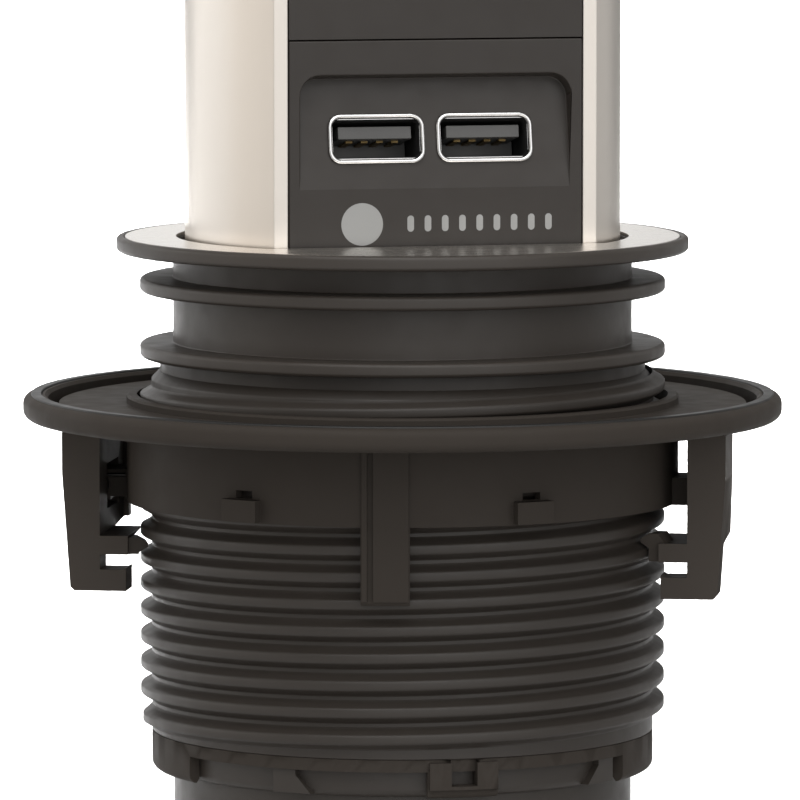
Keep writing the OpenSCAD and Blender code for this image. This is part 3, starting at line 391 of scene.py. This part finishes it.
def add_ridge(bm, steps):
    """Helical ridge, sunk a little into the core, that fades at both ends."""
    section = [(-offset, share) for offset, share in reversed(RIDGE_HALF[1:])] + RIDGE_HALF
    sunk = RIDGE_HALF[-1][1]
    first = (CREST_LOW - CREST_PHASE) / PITCH
    last = (CREST_TOP - CREST_PHASE) / PITCH
    count = round((last - first) * steps)
    columns = []
    for i in range(1, count):
        along = first + (last - first) * i / count
        height = smooth_step((along - first) / RUN_OUT) * smooth_step((last - along) / RUN_OUT)
        crest_z = CREST_PHASE + PITCH * along
        column = []
        for offset, share in section:
            r = CORE_R + (CREST_R - CORE_R) * (sunk + (share - sunk) * height)
            column.append(bm.verts.new(at_angle(r, 2 * math.pi * along, crest_z + offset)))
        columns.append(column)
    for here, there in zip(columns, columns[1:]):
        bridge(bm, here, there)
    sunk_r = CORE_R + (CREST_R - CORE_R) * sunk
    for column, along in ((columns[0], first), (columns[-1], last)):
        tip = bm.verts.new(at_angle(sunk_r, 2 * math.pi * along, CREST_PHASE + PITCH * along))
        for point, after in zip(column, column[1:] + column[:1]):
            bm.faces.new((point, after, tip))


def thread_mesh():
    bm = bmesh.new()
    add_turned(bm, SLEEVE_OUTLINE, THREAD_STEPS)
    add_ridge(bm, THREAD_STEPS)
    bmesh.ops.recalc_face_normals(bm, faces=bm.faces)
    return bm


sleeve = make_piece("sleeve_thread", thread_mesh(), "housing_plastic", "housing", ["threaded_sleeve"])
smooth_corners(sleeve, 40.0)


# Shells of the ports

# Loops of a shell, from its back over the flared mouth into the bore: width, height, corner and depth
SHELL_LOOPS = [
    (13.2, 5.8, 0.6, -10.0),
    (13.2, 5.8, 0.6, 0.02),
    (14.4, 7.2, 1.8, 0.02),
    (14.6, 7.4, 1.9, 0.12),
    (14.6, 7.4, 1.9, 0.34),
    (14.48, 7.28, 1.85, 0.47),
    (14.22, 7.02, 1.75, 0.55),
    (13.95, 6.75, 1.65, 0.57),
    (13.7, 6.5, 1.55, 0.53),
    (13.5, 6.3, 1.45, 0.42),
    (13.3, 6.0, 1.2, 0.1),
    (12.9, 5.5, 0.8, -0.5),
    (12.5, 5.12, 0.4, -1.3),
    (12.5, 5.12, 0.4, -9.5),
]
# Number of the loop from which the bore is painted near-black, as painted shade
PAINTED_SHADE_FROM = 10


def port_matrix(side):
    """From a port's own frame, with Z out of its mouth, to the row's frame."""
    turn = Matrix.Rotation(math.pi / 2 - SLOPE, 4, "X")
    place = Matrix.Translation(Vector((0, PORT_Y, PORT_Z)) * MM)
    return place @ turn @ Matrix.Translation(Vector((PORT_SHIFT + side * PORT_PITCH / 2, 0, 0)) * MM)


def shell_mesh():
    """Steel shells of the ports: closed skins from the back round the flared mouth into the bore, whose
    inner loops and inner end are painted near-black as painted shade.
    """
    bm = bmesh.new()
    for side in (-1, 1):
        place = port_matrix(side)
        rings = []
        for width, height, radius, z in SHELL_LOOPS:
            loop = rounded_loop(width, height, radius)
            rings.append([bm.verts.new(place @ (Vector((x, y, z)) * MM)) for x, y in loop])
        for level, (ring, after) in enumerate(zip(rings, rings[1:])):
            for face in bridge(bm, ring, after):
                # Loops from here on, and the inner end below, take the painted shade
                face.material_index = int(level >= PAINTED_SHADE_FROM)
        bm.faces.new(rings[0][::-1])
        bm.faces.new(rings[-1]).material_index = 1
    return bm


shells = make_piece("port_shells", shell_mesh(), "bright_steel", "tower", ["usb_shells"])
shells.data.materials.append(port_painted_shade)
smooth_corners(shells, 50.0)


# Coils that close the shutters, built at their resting length

COIL_LENGTH = 7.65
COIL_R = 0.66
COIL_TURNS = 9
COIL_STEPS = 16
WIRE_R = 0.15
WIRE_SIDES = 6
DEPTH_AXIS = Vector((0, 1, 0))
SLIDE_AXIS = Vector((-1, 0, 1)).normalized()


def coil_mesh(centre):
    """A coil of round wire along the way that the shutters slide."""
    across = SLIDE_AXIS.cross(DEPTH_AXIS)
    count = COIL_TURNS * COIL_STEPS
    run = COIL_LENGTH - 2 * WIRE_R
    bm = bmesh.new()
    rings = []
    for i in range(count + 1):
        a = 2 * math.pi * i / COIL_STEPS
        out = across * math.cos(a) + DEPTH_AXIS * math.sin(a)
        middle = SLIDE_AXIS * run * (i / count - 0.5) + out * COIL_R
        ring = []
        for k in range(WIRE_SIDES):
            b = 2 * math.pi * k / WIRE_SIDES
            skin = (out * math.cos(b) + SLIDE_AXIS * math.sin(b)) * WIRE_R
            ring.append(bm.verts.new(centre + (middle + skin) * MM))
        rings.append(ring)
    for ring, after in zip(rings, rings[1:]):
        bridge(bm, ring, after)
    bm.faces.new(rings[0])
    bm.faces.new(rings[-1])
    bmesh.ops.recalc_face_normals(bm, faces=bm.faces)
    return bm


for level in ("upper", "lower"):
    low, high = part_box("shutter_spring_" + level)
    centre = (Vector(low) + Vector(high)) / 2
    coil = make_piece("coil_" + level, coil_mesh(centre), "screw_steel", "tower",
                      ["shutter_spring_" + level])
    smooth_corners(coil, 70.0)
    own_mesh(coil)


# Printed marks: a plain disc and a row of plain bars below the ports

FLANGE_TOP = 2.25
MARK_Z = FLANGE_TOP + 3.3
MARK_PROUD = 0.04
MARK_SUNK = 0.02
DISC_X = -11.2
DISC_R = 3.15
DISC_STEPS = 48
BAR_X = -3.85
BAR_PITCH = 2.62
BAR_COUNT = 9
BAR_W = 1.0
BAR_H = 2.4
# A little less than half of the width, so that the points of two corners stay apart
BAR_CORNER = BAR_W / 2.01
BAR_CORNER_STEPS = 4


def mark_mesh(outlines):
    """Thin printed shapes on the flat front, from outlines across and up."""
    bm = bmesh.new()
    for outline in outlines:
        front = [bm.verts.new((x * MM, (TOWER_FRONT - MARK_PROUD) * MM, z * MM)) for x, z in outline]
        back = [bm.verts.new((x * MM, (TOWER_FRONT + MARK_SUNK) * MM, z * MM)) for x, z in outline]
        bm.faces.new(front)
        bm.faces.new(back[::-1])
        bridge(bm, front, back)
    bmesh.ops.recalc_face_normals(bm, faces=bm.faces)
    return bm


def disc_outline():
    angles = [2 * math.pi * i / DISC_STEPS for i in range(DISC_STEPS)]
    return [(DISC_X + DISC_R * math.cos(a), MARK_Z + DISC_R * math.sin(a)) for a in angles]


def bar_outline(x):
    loop = rounded_loop(BAR_W, BAR_H, BAR_CORNER, BAR_CORNER_STEPS)
    return [(x + u, MARK_Z + v) for u, v in loop]


bar_outlines = [bar_outline(BAR_X + BAR_PITCH * i) for i in range(BAR_COUNT)]
mark_disc = make_piece("mark_disc", mark_mesh([disc_outline()]), "insulator", "tower", material=printed)
mark_bars = make_piece("mark_bars", mark_mesh(bar_outlines), "insulator", "tower", material=printed)
for mark in (mark_disc, mark_bars):
    smooth_corners(mark, 30.0)


# Floor, light and camera

FLOOR_HALF = 14.0
FLOOR_GAP = 0.0005
FLOOR_COLOUR = (0.62, 0.62, 0.62)
FLOOR_ROUGHNESS = 0.8
WORLD_COLOUR = (1.0, 0.995, 0.985)
WORLD_STRENGTH = 0.3
MIDDLE = (0, 0, 0.05)
WARM = (1.0, 0.94, 0.87)
WHITE = (1, 1, 1)


def make_floor():
    z = cad_box[0].z - FLOOR_GAP
    bm = bmesh.new()
    signs = ((-1, -1), (1, -1), (1, 1), (-1, 1))
    bm.faces.new([bm.verts.new((x * FLOOR_HALF, y * FLOOR_HALF, z)) for x, y in signs])
    mesh = bpy.data.meshes.new("floor")
    bm.to_mesh(mesh)
    bm.free()
    floor = bpy.data.objects.new("floor", mesh)
    scene.collection.objects.link(floor)
    floor.data.materials.append(new_material("floor", FLOOR_COLOUR, FLOOR_ROUGHNESS)[0])


def area_light(name, place, target, size, power, colour=WHITE, spread_angle=180.0, turn=0.0):
    """A soft box aimed at a target; spread in degrees, and a turn about its own axis in radians."""
    data = bpy.data.lights.new(name, "AREA")
    data.shape = "RECTANGLE"
    data.size, data.size_y = size
    data.energy = power
    data.color = colour
    data.spread = math.radians(spread_angle)
    light = bpy.data.objects.new(name, data)
    light.location = place
    light.rotation_euler = (Vector(target) - Vector(place)).to_track_quat("-Z", "Y").to_euler()
    light.rotation_euler.rotate_axis("Z", turn)
    light.visible_camera = False
    scene.collection.objects.link(light)


def make_world():
    world = bpy.data.worlds.new("studio")
    world.use_nodes = True
    scene.world = world
    background = world.node_tree.nodes["Background"]
    background.inputs["Color"].default_value = (*WORLD_COLOUR, 1)
    background.inputs["Strength"].default_value = WORLD_STRENGTH


def make_camera():
    data = bpy.data.cameras.new("photo_camera")
    data.sensor_width = CAMERA_SENSOR
    data.lens = CAMERA_LENS
    data.shift_x = AXIS_SHIFT
    data.clip_end = CAMERA_REACH
    camera = bpy.data.objects.new("photo_camera", data)
    x = math.sin(CAMERA_AZIMUTH) * CAMERA_DISTANCE
    y = -math.cos(CAMERA_AZIMUTH) * CAMERA_DISTANCE
    camera.location = (x, y, CAMERA_HEIGHT)
    camera.rotation_euler = (math.pi / 2 - CAMERA_PITCH, 0, CAMERA_AZIMUTH)
    scene.collection.objects.link(camera)
    scene.camera = camera


make_floor()
make_world()
area_light("overhead", (-0.2, -0.7, 1.3), (0, 0, 0), (1.4, 1.2), 11)
area_light("front", (0.4, -2.6, 0.7), MIDDLE, (3.6, 2.2), 25)
area_light("left_back", (-1.6, 1.7, 0.5), MIDDLE, (1.9, 1.5), 7.9)
area_light("left", (-2.4, 0.2, 0.5), MIDDLE, (2.0, 1.5), 7.2, WARM)
area_light("right_back", (2.2, 0.9, 0.5), MIDDLE, (1.6, 1.5), 2.3)
area_light("behind", (0.05, 3.7, 0.8), MIDDLE, (2.1, 1.6), 8)
# Lights the floor behind the object, along the camera's line of sight
area_light("backdrop", (0.52, 3.48, 2.2), (0.52, 3.48, 0), (1.0, 5.4), 145,
           spread_angle=50.0, turn=CAMERA_AZIMUTH)
make_camera()
scene.view_settings.view_transform = "Standard"
